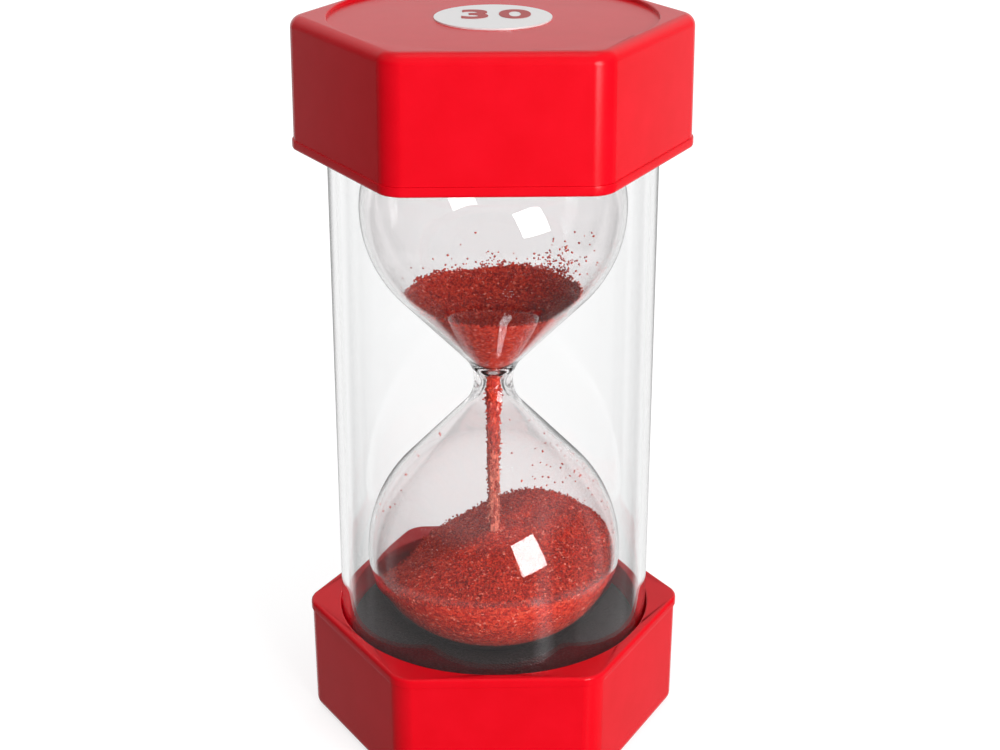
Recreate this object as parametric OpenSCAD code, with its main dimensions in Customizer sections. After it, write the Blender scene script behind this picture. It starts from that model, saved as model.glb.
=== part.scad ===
// Sand timer: a blown hourglass in a clear tube between two six-sided end caps.
// Millimetres, +Z up. The origin is the middle of the base, and a flat of each cap faces -Y.

/* [Overall] */
// Height from the base to the top
total_h = 163.2; // [160:0.1:175]
// Height of each end cap with its collar on
cap_h = 28; // [26:0.1:32]

/* [End caps] */
// Wall of a cap at the middle of a flat, at the open rim
cap_wall = 1.95; // [1.2:0.05:4]
// How much narrower a cap is across its flats at the closed end
cap_draft = 0.4; // [0:0.1:0.8]
// Radius of the cap's upright corners
corner_r = 5.6; // [4:0.1:8]
// Radius of the edge round the closed end
edge_r = 2.4; // [1:0.1:2.8]
// Thickness of the closed end under its recess
floor_t = 2.2; // [1.5:0.1:3]
// Width of the flat rim between the middle of a flat's rounded edge and the recess
rim_w = 0.3; // [0.2:0.1:8]
// Depth of the recess
recess_depth = 0.8; // [0.4:0.1:1.5]

/* [Collars] */
// Thickness of the collar plate on a cap's open rim
collar_t = 2.2; // [1.5:0.1:3]
// How far the collar stands proud of the cap's flats
collar_lip = 0.3; // [0:0.1:0.6]
// Radius of the collar's outer edge
collar_edge_r = 0.7; // [0.3:0.1:1.2]
// Depth of the tongues that plug into the cap's corners
tongue_h = 4; // [2:0.5:8]

/* [Tube] */
// Outside diameter of the clear tube
tube_od = 70; // [62:0.1:80]
// Wall of the clear tube
tube_wall = 1.6; // [1:0.1:2.5]

/* [Glass] */
// Largest outside diameter of a bulb
bulb_d = 57.4; // [54:0.1:60]
// Distance between the widest circles of the two bulbs
bulb_pitch = 81; // [79:0.1:84]
// Outside diameter of the neck
neck_d = 8.6; // [7:0.1:10]
// Diameter of the bore through the neck
bore_d = 3.5; // [2:0.1:4.5]
// Outside radius of the waist round the neck
waist_arc_r = 8.3; // [6:0.1:10]
// Slope of the cone above the neck, from the axis
cone_angle = 43.5; // [41:0.5:46]
// Radius of the bulb's side, from its widest circle to its end
side_arc_r = 20; // [18:0.5:22]
// Angle that the side turns through before the flatter end
side_turn = 50; // [45:1:55]
// Wall of the bulbs
glass_wall = 0.8; // [0.5:0.05:1.8]
// How far the neck stands above the middle of the timer
glass_lift = 0.8; // [0:0.1:1]
// Diameter of the hole that the sand is poured in by
fill_hole_d = 7; // [5:0.5:9]

/* [Stopper] */
// Diameter of the stopper's head
stopper_head_d = 11; // [10.5:0.5:13]
// Height of the stopper's head above the top of the glass
stopper_head_h = 1.6; // [1:0.1:2.5]
// Depth of the stopper below the inside of the glass
stopper_reach = 1.5; // [1:0.1:3]

/* [Pads] */
// Depth of the glass in each pad, with the glass midway
seat_depth = 5.1; // [3:0.1:9]

/* [Sand] */
// Height of the crater's lowest point above the neck
crater_h = 9.3; // [5:0.1:12]
// Slope of the crater
crater_angle = 30; // [20:1:34]
// Height of the heap's highest point below the neck
heap_drop = 37.1; // [32:0.1:42]
// Radius of the heap's rounded top
heap_r = 66; // [50:1:90]
// How far the heap's highest point lies to the right of the axis
heap_x = 9; // [0:0.5:12]
// How far the heap's highest point lies in front of the axis
heap_y = 1; // [0:0.5:6]
// Height of the steeper round's highest point below the neck, where the heap falls away behind
fall_drop = 30.9; // [26:0.1:36]
// Radius of the steeper round
fall_r = 45; // [38:1:60]
// How far the middle of the steeper round lies to the right of the axis
fall_x = 12; // [0:0.5:16]
// How far the middle of the steeper round lies in front of the axis
fall_y = 7; // [0:0.5:12]
// Diameter of the falling stream where it meets the heap
stream_d = 2.6; // [1.4:0.1:3.2]
// Height above the neck at which the sand in the bulb becomes the stream
stream_top = 1; // [0.5:0.5:2]

/* [Label] */
// Diameter of the round label
label_d = 24.4; // [15:0.1:40]
// Thickness of the label
label_t = 0.3; // [0.1:0.1:0.6]

/* [Clearances] */
// Gap between the tube and the flats inside a cap
tube_fit = 0.15; // [0.05:0.05:0.3]
// Gap between the tube and the hole in a collar
collar_fit = 0.3; // [0.2:0.05:0.5]
// Gap round the collar's tongues
tongue_fit = 0.15; // [0.1:0.05:0.3]
// Gap between a pad and the tube round it
pad_fit = 0.15; // [0.05:0.05:0.4]
// Gap between the glass and its seat in a pad
seat_fit = 0.2; // [0.1:0.05:0.4]
// Gap between the sand and the glass
sand_fit = 0.15; // [0.1:0.05:0.3]
// Gap round the stopper
stopper_fit = 0.05; // [0.02:0.01:0.1]

/* [Hidden] */

red = [0.86, 0.05, 0.09];
clear = [0.9, 0.93, 0.95, 0.3];
foam = [0.09, 0.09, 0.1];
sand = [0.55, 0.14, 0.11];

// A cut runs this far past the face that it opens
past = 1;
// Segments of one arc of the glass
arc_steps = 10;
// Sides of a round form inside a hull, and of a true circle
hull_sides = 36;
round_sides = 96;

sides = 6;
floor_z = recess_depth + floor_t;
pocket_af = tube_od + 2 * tube_fit;
cap_af = pocket_af + 2 * cap_wall;
end_af = cap_af - cap_draft;
recess_d = end_af - 2 * edge_r - 2 * rim_w;
collar_z = cap_h - collar_t;
tube_h = total_h - 2 * floor_z;
tube_id = tube_od - 2 * tube_wall;
glass_mid = total_h / 2 + glass_lift;

// Six points, one at the middle of each rounded corner
function corner_reach(across, r) = (across / 2 - r) / cos(180 / sides);
function corner(k, across, r) = corner_reach(across, r) * [cos(360 / sides * k), sin(360 / sides * k)];

// The glass is drawn as [radius, distance from the neck]. Its arcs are tangent to each other.
equator = bulb_pitch / 2;
waist_end_r = neck_d / 2 + waist_arc_r * (1 - cos(cone_angle));
waist_end_d = waist_arc_r * sin(cone_angle);
secant_gain = 1 / cos(cone_angle) - 1;
shoulder_arc_r = (waist_end_r - bulb_d / 2 + (equator - waist_end_d) * tan(cone_angle)) / secant_gain;
end_arc_r = (bulb_d / 2 - side_arc_r * (1 - cos(side_turn))) / cos(side_turn);
glass_end = equator + side_arc_r * sin(side_turn) + end_arc_r * (1 - sin(side_turn));
pad_h = total_h / 2 - glass_end + seat_depth - floor_z;

// Radius of the waist arc of a layer that lies inset under the outside and has its own neck radius
function waist_radius(inset, neck_r) =
    (neck_r - waist_end_r + inset / cos(cone_angle) + waist_end_d * tan(cone_angle)) / secant_gain;

// Points of an arc about a middle. An arc that carries on from another leaves out its own first point.
function arc(middle_r, middle_d, r, from, to, first = 0) =
    [for (i = [first : arc_steps]) let (a = from + (to - from) * i / arc_steps)
        [middle_r + r * cos(a), middle_d + r * sin(a)]];

// One half of a layer of the glass, from the neck to the end of the bulb
function half_outline(inset, neck_r) = let (w = waist_radius(inset, neck_r)) concat(
    arc(neck_r + w, 0, w, 180, 180 - cone_angle),
    arc(bulb_d / 2 - shoulder_arc_r, equator, shoulder_arc_r - inset, -cone_angle, 0),
    arc(bulb_d / 2 - side_arc_r, equator, side_arc_r - inset, 0, side_turn, 1),
    arc(0, glass_end - end_arc_r, end_arc_r - inset, side_turn, 90, 1)
);

// A six-sided plate or prism with rounded corners, as wide at the top as top_af
module six_sided(h, bottom_af, top_af, r) {
    hull() for (k = [0 : sides - 1]) {
        translate(corner(k, bottom_af, r)) cylinder(r = r, h = h / 2, $fn = hull_sides);
        translate(concat(corner(k, top_af, r), h / 2)) cylinder(r = r, h = h / 2, $fn = hull_sides);
    }
}

// An upright corner with its lower edge rounded
module rounded_corner(h, r, edge) {
    rotate_extrude($fn = hull_sides) intersection() {
        union() {
            translate([r - edge, edge]) circle(r = edge, $fn = hull_sides);
            square([r - edge, h]);
            translate([0, edge]) square([r, h - edge]);
        }
        square([r, h]);
    }
}

// A six-sided shell that stands on its closed end, open at the top
module cap() {
    pocket_r = corner_r - cap_wall;
    color(red) difference() {
        hull() for (k = [0 : sides - 1]) {
            translate(corner(k, end_af, corner_r)) rounded_corner(edge_r + past, corner_r, edge_r);
            translate(concat(corner(k, cap_af, corner_r), collar_z - past))
                cylinder(r = corner_r, h = past, $fn = hull_sides);
        }
        translate([0, 0, floor_z]) six_sided(cap_h, pocket_af, pocket_af, pocket_r);
        translate([0, 0, -past]) cylinder(d = recess_d, h = past + recess_depth, $fn = round_sides);
    }
}

// A six-sided plate round the tube, with a tongue in each corner of the cap
module collar() {
    plate_af = cap_af + 2 * collar_lip;
    tongue_af = pocket_af - 2 * tongue_fit;
    tongue_r = corner_r - (cap_af - tongue_af) / 2;
    color(red) difference() {
        union() {
            translate([0, 0, cap_h]) mirror([0, 0, 1]) hull() for (k = [0 : sides - 1])
                translate(corner(k, plate_af, corner_r)) rounded_corner(collar_t, corner_r, collar_edge_r);
            translate([0, 0, collar_z - tongue_h])
                six_sided(tongue_h + collar_t / 2, tongue_af, tongue_af, tongue_r);
        }
        translate([0, 0, collar_z - tongue_h - past])
            cylinder(d = tube_od + 2 * collar_fit, h = cap_h, $fn = round_sides);
    }
}

// Turns a piece of the lower end over to the upper end
module upper_end() {
    translate([0, 0, total_h]) mirror([0, 0, 1]) children();
}

module outer_tube() {
    color(clear) translate([0, 0, floor_z]) difference() {
        cylinder(d = tube_od, h = tube_h, $fn = round_sides);
        translate([0, 0, -past]) cylinder(d = tube_id, h = tube_h + 2 * past, $fn = round_sides);
    }
}

// The solid inside one layer of the glass, both bulbs and the neck
module glass_layer(inset, neck_r) {
    half = half_outline(inset, neck_r);
    lower = [for (i = [len(half) - 1 : -1 : 1]) [half[i][0], -half[i][1]]];
    translate([0, 0, glass_mid]) rotate_extrude($fn = round_sides) polygon(concat(lower, half));
}

module hourglass() {
    color(clear) difference() {
        glass_layer(0, neck_d / 2);
        glass_layer(glass_wall, bore_d / 2);
        translate([0, 0, glass_mid + equator]) cylinder(d = fill_hole_d, h = glass_end, $fn = round_sides);
    }
}

// A plug in the filling hole, under a head that rests on the glass
module fill_stopper() {
    plug_r = fill_hole_d / 2 - stopper_fit;
    head_top = glass_mid + glass_end + stopper_head_h;
    plug_low = glass_mid + glass_end - glass_wall - stopper_reach;
    color(foam) difference() {
        union() {
            translate([0, 0, plug_low]) cylinder(r = plug_r, h = head_top - plug_low, $fn = round_sides);
            translate([0, 0, glass_mid + glass_end - glass_wall])
                cylinder(d = stopper_head_d, h = glass_wall + stopper_head_h, $fn = round_sides);
        }
        difference() {
            glass_layer(-stopper_fit, neck_d / 2 + stopper_fit);
            translate([0, 0, glass_mid + equator]) cylinder(r = plug_r, h = glass_end, $fn = round_sides);
        }
    }
}

// A foam block that fills the end of the tube, hollowed to the shape of the glass
module pad() {
    color(foam) difference() {
        translate([0, 0, floor_z]) cylinder(d = tube_id - 2 * pad_fit, h = pad_h, $fn = round_sides);
        children();
    }
}

module glass_seat() {
    glass_layer(-seat_fit, neck_d / 2 + seat_fit);
}

module lower_pad() {
    pad() glass_seat();
}

// The upper pad also leaves room for the stopper's head
module upper_pad() {
    head_top = glass_mid + glass_end + stopper_head_h;
    upper_end() pad() upper_end() {
        glass_seat();
        translate([0, 0, glass_mid + equator])
            cylinder(d = stopper_head_d + 2 * seat_fit, h = head_top + seat_fit - glass_mid - equator,
                $fn = round_sides);
    }
}

// The space that sand can fill in the glass
module sand_space() {
    glass_layer(glass_wall + sand_fit, bore_d / 2 - sand_fit);
}

module upper_sand() {
    color(sand) intersection() {
        sand_space();
        translate([0, 0, glass_mid]) rotate_extrude($fn = round_sides) polygon([
            [0, stream_top], [bulb_d, stream_top],
            [bulb_d, crater_h + bulb_d * tan(crater_angle)], [0, crater_h]
        ]);
    }
}

// A ball by the place of its top below the neck
module round_top(x, y, drop, r) {
    translate([x, -y, glass_mid - drop - r]) sphere(r = r, $fn = round_sides);
}

// The surface of the heap: a flat round that a steeper one cuts away at the back left
module heap_form() {
    intersection() {
        round_top(heap_x, heap_y, heap_drop, heap_r);
        round_top(fall_x, fall_y, fall_drop, fall_r);
    }
}

module lower_sand() {
    color(sand) intersection() {
        sand_space();
        heap_form();
    }
}

// A falling column that narrows from the bore down to the heap
module sand_stream() {
    top_r = bore_d / 2 - sand_fit;
    color(sand) difference() {
        translate([0, 0, glass_mid]) rotate_extrude($fn = round_sides) polygon([
            [0, stream_top], [top_r, stream_top], [top_r, -waist_end_d],
            [stream_d / 2, -heap_drop], [stream_d / 2, -heap_drop - past], [0, -heap_drop - past]
        ]);
        heap_form();
    }
}

// A round label on the floor of the upper recess
module label() {
    color("white") translate([0, 0, total_h - recess_depth]) cylinder(d = label_d, h = label_t, $fn = round_sides);
}

cap();  // lower_cap
upper_end() cap();  // upper_cap
collar();  // lower_collar
upper_end() collar();  // upper_collar
outer_tube();
hourglass();
fill_stopper();
lower_pad();
upper_pad();
upper_sand();
sand_stream();
lower_sand();
label();
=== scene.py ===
"""Dresses the packed sand timer: red ends, clear tube, blown glass, foam pads and sand."""
import logging
import math
from collections.abc import Callable
from dataclasses import dataclass, field
from enum import Enum

import bmesh
import bpy
import numpy as np
from mathutils import Matrix, Vector, noise


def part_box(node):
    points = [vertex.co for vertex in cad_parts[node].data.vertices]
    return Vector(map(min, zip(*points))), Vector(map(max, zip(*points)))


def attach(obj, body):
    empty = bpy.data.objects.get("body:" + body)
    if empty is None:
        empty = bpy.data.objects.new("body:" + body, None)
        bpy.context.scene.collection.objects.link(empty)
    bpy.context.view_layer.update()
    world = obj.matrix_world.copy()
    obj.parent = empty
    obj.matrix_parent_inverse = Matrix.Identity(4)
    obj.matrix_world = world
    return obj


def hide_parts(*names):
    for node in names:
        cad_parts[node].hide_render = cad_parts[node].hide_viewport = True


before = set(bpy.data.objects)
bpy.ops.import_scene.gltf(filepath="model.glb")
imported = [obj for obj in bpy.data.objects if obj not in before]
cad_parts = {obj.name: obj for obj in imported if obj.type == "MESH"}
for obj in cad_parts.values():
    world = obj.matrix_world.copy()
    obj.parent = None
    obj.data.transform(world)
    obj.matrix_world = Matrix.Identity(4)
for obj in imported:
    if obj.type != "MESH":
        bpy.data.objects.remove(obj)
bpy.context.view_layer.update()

LOG = logging.getLogger("sand_timer")
MM = 0.001
# Points closer than this lie at the same place, and doubles closer than the next are merged.
TOUCH = 0.01 * MM
MERGE = 0.001 * MM
# The least upright part of the normal of a face that counts as level.
FLAT = 0.99
BODY = "root"
IMAGE_WIDTH_PX = 1000
SIDES = 6
Outline = list[tuple[float, float]]
Colour = tuple[float, float, float, float]
Levels = tuple[tuple[float, float], ...]
Socket = bpy.types.NodeSocket


class Slot(Enum):
    """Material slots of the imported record."""

    CAP = "cap_plastic"
    TUBE = "clear_plastic"
    GLASS = "glass"
    STOPPER = "stopper_rubber"
    FOAM = "pad_foam"
    SAND = "sand"
    LABEL = "label_paper"


class Pick(Enum):
    """What a selection in edit mode is made of."""

    VERT = "VERT"
    EDGE = "EDGE"
    FACE = "FACE"


class End(Enum):
    """The two ends of the timer, which carry the same mouldings."""

    LOWER = "lower"
    UPPER = "upper"


class Bench:
    """Modelling steps that the pieces share."""

    @staticmethod
    def clear() -> None:
        """Leaves object mode current and nothing selected."""
        if bpy.context.object and bpy.context.object.mode != "OBJECT":
            bpy.ops.object.mode_set(mode="OBJECT")
        bpy.ops.object.select_all(action="DESELECT")

    @staticmethod
    def only(piece: bpy.types.Object) -> None:
        """Selects one object by itself and makes it active."""
        Bench.clear()
        piece.select_set(True)
        bpy.context.view_layer.objects.active = piece

    @staticmethod
    def named(name: str) -> bpy.types.Object:
        """Names the active object and its mesh, and returns it."""
        piece = bpy.context.object
        piece.name = name
        piece.data.name = name
        return piece

    @staticmethod
    def edit() -> None:
        """Opens the active object in edit mode, with all its points selected."""
        bpy.ops.object.mode_set(mode="EDIT")
        bpy.ops.mesh.select_mode(type="VERT")
        bpy.ops.mesh.select_all(action="SELECT")

    @staticmethod
    def outward() -> None:
        """Merges doubles, turns all faces outwards and leaves edit mode."""
        bpy.ops.mesh.select_all(action="SELECT")
        bpy.ops.mesh.remove_doubles(threshold=MERGE)
        bpy.ops.mesh.normals_make_consistent(inside=False)
        bpy.ops.object.mode_set(mode="OBJECT")

    @staticmethod
    def pick(piece: bpy.types.Object, kind: Pick, test: Callable) -> None:
        """Selects parts of a mesh in edit mode.

        Args:
            piece: the object in edit mode.
            kind: whether vertices, edges or faces are chosen.
            test: says whether one of them is wanted.
        """
        bpy.ops.mesh.select_mode(type=kind.value)
        bpy.ops.mesh.select_all(action="DESELECT")
        mesh = bmesh.from_edit_mesh(piece.data)
        parts = {Pick.VERT: mesh.verts, Pick.EDGE: mesh.edges, Pick.FACE: mesh.faces}[kind]
        for part in [part for part in parts if test(part)]:
            part.select_set(True)
        mesh.select_flush_mode()
        bmesh.update_edit_mesh(piece.data)

    @staticmethod
    def place(piece: bpy.types.Object) -> None:
        """Puts an object's place and turn into its mesh."""
        Bench.only(piece)
        bpy.ops.object.transform_apply(location=True, rotation=True, scale=True)

    @staticmethod
    def turn_over(piece: bpy.types.Object, height: float) -> None:
        """Turns a piece of the lower end over, to the upper end of a timer of this height."""
        piece.rotation_euler.x = math.pi
        piece.location.z = height
        Bench.place(piece)

    @staticmethod
    def smooth(
        piece: bpy.types.Object, angle: float = math.radians(35), weigh: bool = False
    ) -> None:
        """Shades a piece smoothly up to an angle.

        Args:
            piece: the object to shade.
            angle: edges sharper than this stay sharp.
            weigh: lets large flat faces keep their own direction beside rounded edges.
        """
        Bench.only(piece)
        bpy.ops.object.shade_smooth_by_angle(angle=angle)
        if weigh:
            bpy.ops.object.modifier_add(type="WEIGHTED_NORMAL")
            piece.modifiers[-1].keep_sharp = True
            bpy.ops.object.modifier_apply(modifier=piece.modifiers[-1].name)

    @staticmethod
    def lathe(name: str, outline: Outline, steps: int) -> bpy.types.Object:
        """Spins an outline about the upright axis.

        Args:
            name: the new piece's name.
            outline: points as (radius, height), in metres.
            steps: how many sides the turned shape has.

        Returns:
            The turned piece, with its normals outwards.
        """
        Bench.clear()
        bpy.ops.mesh.primitive_plane_add(size=MM)
        piece = Bench.named(name)
        Bench.edit()
        bpy.ops.mesh.merge(type="CENTER")
        bpy.ops.transform.translate(value=(outline[0][0], 0, outline[0][1]))
        for (r0, z0), (r1, z1) in zip(outline, outline[1:]):
            move = {"value": (r1 - r0, 0, z1 - z0)}
            bpy.ops.mesh.extrude_vertices_move(TRANSFORM_OT_translate=move)
        bpy.ops.mesh.select_all(action="SELECT")
        bpy.ops.mesh.spin(steps=steps, angle=math.tau, center=(0, 0, 0), axis=(0, 0, 1))
        Bench.outward()
        return piece

    @staticmethod
    def paint(piece: bpy.types.Object, material: bpy.types.Material) -> None:
        """Gives a piece one material in place of those it has."""
        piece.data.materials.clear()
        piece.data.materials.append(material)

    @staticmethod
    def finish(
        piece: bpy.types.Object, slot: Slot, material: bpy.types.Material, *nodes: str
    ) -> None:
        """Dresses a piece and hands it to the frame.

        Args:
            piece: the finished object.
            slot: the record's slot for its finish; not used.
            material: its material.
            nodes: the solids that it stands for.
        """
        Bench.paint(piece, material)
        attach(piece, BODY)
        if nodes:
            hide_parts(*nodes)
        LOG.info("%s: %d faces", piece.name, len(piece.data.polygons))


class Shader:
    """The node tree of a material or the world, with short ways to add and join nodes."""

    def __init__(self, owner: bpy.types.Material | bpy.types.World, output: str) -> None:
        """Empties a tree and gives it an output.

        Args:
            owner: the material or the world.
            output: the output's node type.
        """
        owner.use_nodes = True
        self.owner = owner
        self.tree = owner.node_tree
        self.tree.nodes.clear()
        self.output = self.add(output)

    @classmethod
    def material(cls, name: str) -> "Shader":
        """Starts a new material."""
        return cls(bpy.data.materials.new(name), "ShaderNodeOutputMaterial")

    def add(self, kind: str, **settings: object) -> bpy.types.Node:
        """Adds a node.

        Args:
            kind: the node's type.
            settings: its properties, or its inputs by name with _ for a space.

        Returns:
            The new node.
        """
        node = self.tree.nodes.new(kind)
        for key, value in settings.items():
            socket = key.replace("_", " ")
            if socket in node.inputs:
                self.join(value, node.inputs[socket])
            else:
                setattr(node, key, value)
        return node

    def join(self, source: object, target: Socket) -> None:
        """Links a socket to an input, or sets the input to a plain value."""
        if isinstance(source, Socket):
            self.tree.links.new(source, target)
        else:
            target.default_value = source

    def surface(self, source: Socket) -> bpy.types.Material | bpy.types.World:
        """Joins the finished surface to the output, and returns what has it."""
        self.join(source, self.output.inputs["Surface"])
        return self.owner

    def coordinates(self) -> Socket:
        """The piece's own coordinates, in metres."""
        return self.add("ShaderNodeTexCoord").outputs["Object"]

    def direction(self) -> Socket:
        """The direction that the world is looked at in."""
        return self.add("ShaderNodeTexCoord").outputs["Generated"]

    def noise(self, size: float, **settings: float) -> Socket:
        """Soft noise on the piece's own coordinates.

        Args:
            size: the length of its features, in metres.
            settings: the texture's other inputs.

        Returns:
            The noise, from 0 to 1.
        """
        place = self.coordinates()
        node = self.add("ShaderNodeTexNoise", Vector=place, Scale=1 / size, **settings)
        return node.outputs["Fac"]

    def ramp(self, source: Socket, stops: list[tuple[float, Colour]]) -> Socket:
        """Turns a number into a colour.

        Args:
            source: the number, from 0 to 1.
            stops: places along the ramp with their colours.

        Returns:
            The colour socket.
        """
        ramp = self.add("ShaderNodeValToRGB", Fac=source)
        elements = ramp.color_ramp.elements
        while len(elements) < len(stops):
            elements.new(1.0)
        for element, (place, colour) in zip(elements, stops):
            element.position = place
            element.color = colour
        return ramp.outputs["Color"]

    def levels(self, source: Socket, stops: Levels) -> Socket:
        """Turns a number from 0 to 1 into a level, by places with their levels."""
        return self.ramp(source, [(place, (v, v, v, 1.0)) for place, v in stops])

    def spread(
        self, source: Socket, low: float, high: float, start: float = 0.0, stop: float = 1.0
    ) -> Socket:
        """Maps a number onto a range.

        Args:
            source: the number.
            low: the result at the start.
            high: the result at the stop.
            start: the number that gives low.
            stop: the number that gives high.

        Returns:
            The mapped number, which stays within the range.
        """
        node = self.add(
            "ShaderNodeMapRange",
            Value=source, From_Min=start, From_Max=stop, To_Min=low, To_Max=high,
        )
        return node.outputs["Result"]

    def math(self, operation: str, *values: object, clamp: bool = False) -> Socket:
        """Works out a number from others.

        Args:
            operation: what is done with them.
            values: sockets or plain numbers.
            clamp: whether the result stays between 0 and 1.

        Returns:
            The result's socket.
        """
        node = self.add("ShaderNodeMath", operation=operation, use_clamp=clamp)
        for value, target in zip(values, node.inputs):
            self.join(value, target)
        return node.outputs["Value"]

    def mix(self, share: Socket, first: object, second: object, kind: str = "FLOAT") -> Socket:
        """Mixes two numbers, or two colours.

        Args:
            share: how much of the second is used.
            first: a socket or a plain value.
            second: a socket or a plain value.
            kind: the node's type of data.

        Returns:
            The mixed value.
        """
        node = self.add("ShaderNodeMix", data_type=kind, Factor=share, A=first, B=second)
        return node.outputs["Result"]

    def either(self, share: Socket, first: Socket, second: Socket) -> Socket:
        """Mixes two surfaces by the share of the second."""
        node = self.add("ShaderNodeMixShader", Fac=share)
        self.join(first, node.inputs[1])
        self.join(second, node.inputs[2])
        return node.outputs["Shader"]

    def rays(self, *kinds: str) -> Socket:
        """The greatest of the named values of the light path."""
        path = self.add("ShaderNodeLightPath")
        share = path.outputs[kinds[0]]
        for kind in kinds[1:]:
            share = self.math("MAXIMUM", share, path.outputs[kind])
        return share

    def bump(self, height: Socket, depth: float, strength: float = 1.0) -> Socket:
        """A bumped normal.

        Args:
            height: the pattern that raises the surface.
            depth: how high its peaks are, in metres.
            strength: how much of the effect is used.

        Returns:
            The normal socket.
        """
        node = self.add("ShaderNodeBump", Strength=strength, Distance=depth, Height=height)
        return node.outputs["Normal"]

    def principled(self, **settings: object) -> Socket:
        """A Principled surface with these inputs."""
        return self.add("ShaderNodeBsdfPrincipled", **settings).outputs["BSDF"]


@dataclass(frozen=True)
class MouldedPlastic:
    """Satin red plastic with the fine grain of a textured mould."""

    name: str = "moulded_red_plastic"
    deep: Colour = (0.675, 0.001, 0.008, 1)
    bright: Colour = (0.715, 0.002, 0.011, 1)
    mottle: float = 9 * MM
    mottle_range: tuple[float, float] = (0.3, 0.7)
    grain: float = 0.55 * MM
    grain_depth: float = 0.010 * MM
    grain_strength: float = 0.6
    gloss: tuple[float, float] = (0.20, 0.265)
    shine: float = 0.16
    ior: float = 1.5

    def build(self) -> bpy.types.Material:
        """Makes the material."""
        s = Shader.material(self.name)
        mottle = s.noise(self.mottle, Detail=3.0)
        grain = s.noise(self.grain, Detail=2.0, Roughness=0.6)
        tones = list(zip(self.mottle_range, (self.deep, self.bright)))
        return s.surface(s.principled(
            Base_Color=s.ramp(mottle, tones),
            IOR=self.ior,
            Specular_IOR_Level=self.shine,
            Roughness=s.spread(grain, *self.gloss),
            Normal=s.bump(grain, self.grain_depth, self.grain_strength),
        ))


@dataclass(frozen=True)
class ClearWall:
    """A clear wall that bends light, and that lamps reach through."""

    name: str
    tint: Colour
    ior: float
    ripple: float
    ripple_depth: float
    coat: float = 0.0

    def build(self) -> bpy.types.Material:
        """Makes the material."""
        s = Shader.material(self.name)
        ripple = s.noise(self.ripple, Detail=1.0)
        wall = s.principled(
            Base_Color=self.tint,
            IOR=self.ior,
            Roughness=0.0,
            Transmission_Weight=1.0,
            Coat_Weight=self.coat,
            Coat_Roughness=0.0,
            Normal=s.bump(ripple, self.ripple_depth),
        )
        through = s.add("ShaderNodeBsdfTransparent", Color=self.tint).outputs["BSDF"]
        return s.surface(s.either(s.rays("Is Shadow Ray", "Is Diffuse Ray"), wall, through))


@dataclass(frozen=True)
class DrySand:
    """Dyed quartz sand: each grain has its own tone, and the palest grains carry a painted glint.
    """

    name: str
    streak: float = 1.0
    dark: Colour = (0.30, 0.010, 0.005, 1)
    middle: Colour = (0.60, 0.023, 0.009, 1)
    light: Colour = (0.82, 0.08, 0.034, 1)
    # The palest tone is a painted glint: a highlight put into the grains' colour.
    painted_glint: Colour = (0.95, 0.30, 0.22, 1)
    tone_stops: tuple[float, ...] = (0.0, 0.45, 0.95, 1.0)
    pale: Colour = (0.88, 0.27, 0.18, 1)
    paling: tuple[float, float] | None = None
    shine: float = 0.18
    gloss: tuple[float, float] = (0.45, 0.9)
    ior: float = 1.54
    grain: float = 0.5 * MM
    relief: float = 0.2 * MM
    relief_strength: float = 0.9

    def build(self) -> bpy.types.Material:
        """Makes the material."""
        s = Shader.material(self.name)
        place = s.coordinates()
        long = s.add("ShaderNodeMapping", Vector=place, Scale=(1, 1, self.streak))
        grain = s.add(
            "ShaderNodeTexVoronoi",
            Vector=long.outputs["Vector"], Scale=1 / self.grain, Randomness=1.0,
        )
        tone = s.add("ShaderNodeSeparateColor", Color=grain.outputs["Color"])
        # The last stop gives the palest grains the painted glint.
        tones = zip(self.tone_stops, (self.dark, self.middle, self.light, self.painted_glint))
        colour = s.ramp(tone.outputs["Red"], list(tones))
        if self.paling:
            height = s.add("ShaderNodeSeparateXYZ", Vector=place).outputs["Z"]
            fallen = s.spread(height, 0.0, 1.0, *self.paling)
            pale = s.ramp(tone.outputs["Red"], [(0.0, self.dark), (1.0, self.pale)])
            colour = s.mix(fallen, colour, pale, "RGBA")
        rise = s.math("SUBTRACT", 1.0, grain.outputs["Distance"])
        return s.surface(s.principled(
            Base_Color=colour,
            IOR=self.ior,
            Specular_IOR_Level=self.shine,
            Roughness=s.spread(tone.outputs["Green"], *self.gloss),
            Normal=s.bump(rise, self.relief, self.relief_strength),
        ))


@dataclass(frozen=True)
class BlackFoam:
    """Closed-cell black foam with a fine open skin."""

    name: str = "black_foam"
    dark: Colour = (0.026, 0.019, 0.020, 1)
    pale: Colour = (0.055, 0.041, 0.043, 1)
    cell: float = 0.6 * MM
    cell_edge: float = 0.7
    relief: float = 0.12 * MM
    relief_strength: float = 0.7
    gloss: float = 0.85
    ior: float = 1.4

    def build(self) -> bpy.types.Material:
        """Makes the material."""
        s = Shader.material(self.name)
        place = s.coordinates()
        node = s.add("ShaderNodeTexVoronoi", Vector=place, Scale=1 / self.cell)
        cell = node.outputs["Distance"]
        return s.surface(s.principled(
            Base_Color=s.ramp(cell, [(0.0, self.pale), (self.cell_edge, self.dark)]),
            Roughness=self.gloss,
            IOR=self.ior,
            Normal=s.bump(cell, self.relief, self.relief_strength),
        ))


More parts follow.
